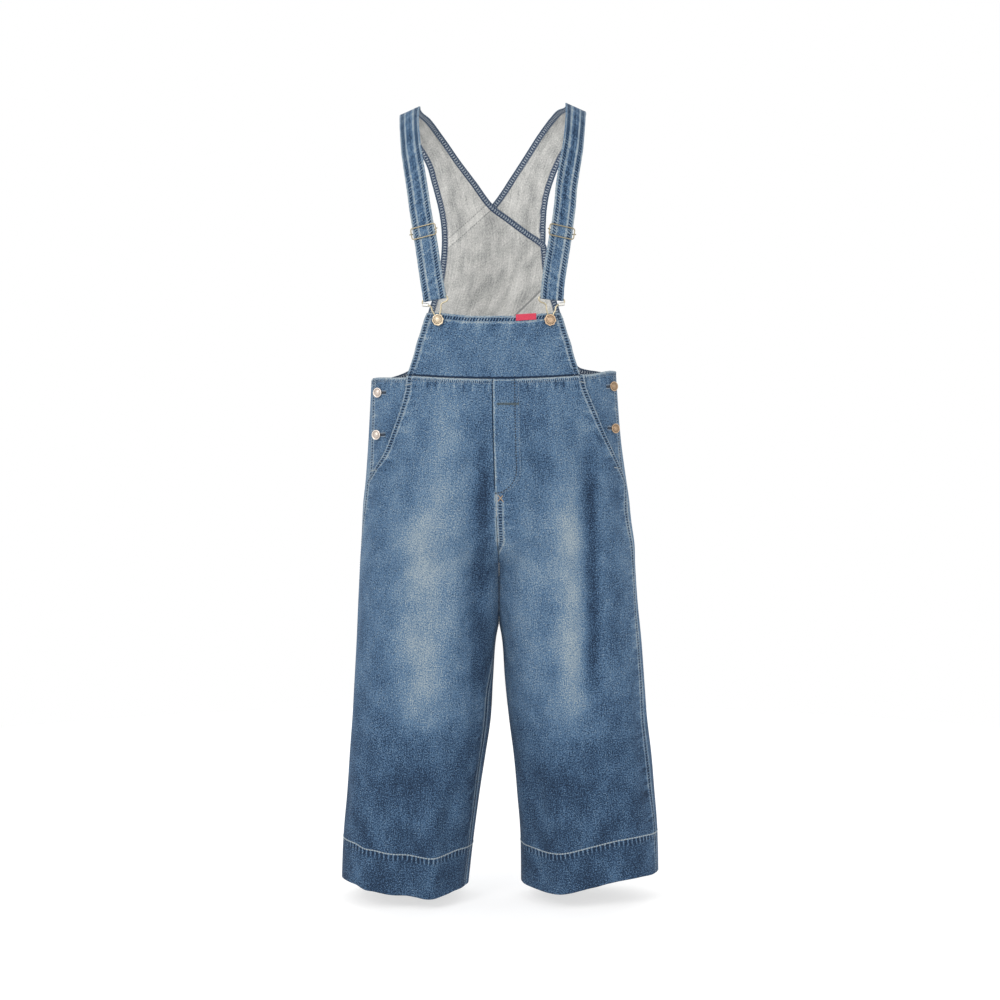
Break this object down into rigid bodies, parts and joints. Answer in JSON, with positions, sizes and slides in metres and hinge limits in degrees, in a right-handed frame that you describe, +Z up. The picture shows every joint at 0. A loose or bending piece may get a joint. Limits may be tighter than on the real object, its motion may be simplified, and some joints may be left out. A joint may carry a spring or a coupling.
{
  "type": "denim dungarees",
  "caption": "Wide cropped denim dungarees, filled out as if worn, with a front bib, strap sliders and clips, a crossed high back and buttoned side openings",
  "frame": {"origin": "at shoulder height where the wearer carries the straps, in the plane between the legs, midway between the front and the back", "axes": "+X is the wearer's left, the front faces -Y, +Z is up"},
  "size_m": [0.5354, 0.2439, 1.3265],
  "materials": {
    "denim": "washed mid-blue cotton twill, faded at the thighs and along the seams, pale grey inside",
    "wire": "pale gold-tinted bent wire",
    "button_metal": "pressed buttons with an antique finish, paler on the rims",
    "tab": "rose-red woven tape, bare"
  },
  "bodies": {
    "root": {"front_leg_right": "denim", "front_leg_left": "denim", "back_leg_right": "denim", "back_leg_left": "denim", "pocket_facing_right": "denim", "pocket_facing_left": "denim", "bib_front": "denim", "back_bib": "denim", "back_wing": "denim", "fly_lap": "denim", "strap_right": "denim", "strap_left": "denim", "slider_right": "wire", "slider_left": "wire", "clip_right": "wire", "clip_left": "wire", "bib_button_right": "button_metal", "bib_button_left": "button_metal", "side_button_right_top": "button_metal", "side_button_right_low": "button_metal", "side_button_left_top": "button_metal", "side_button_left_low": "button_metal", "tab_label": "tab"}
  },
  "joints": []
}
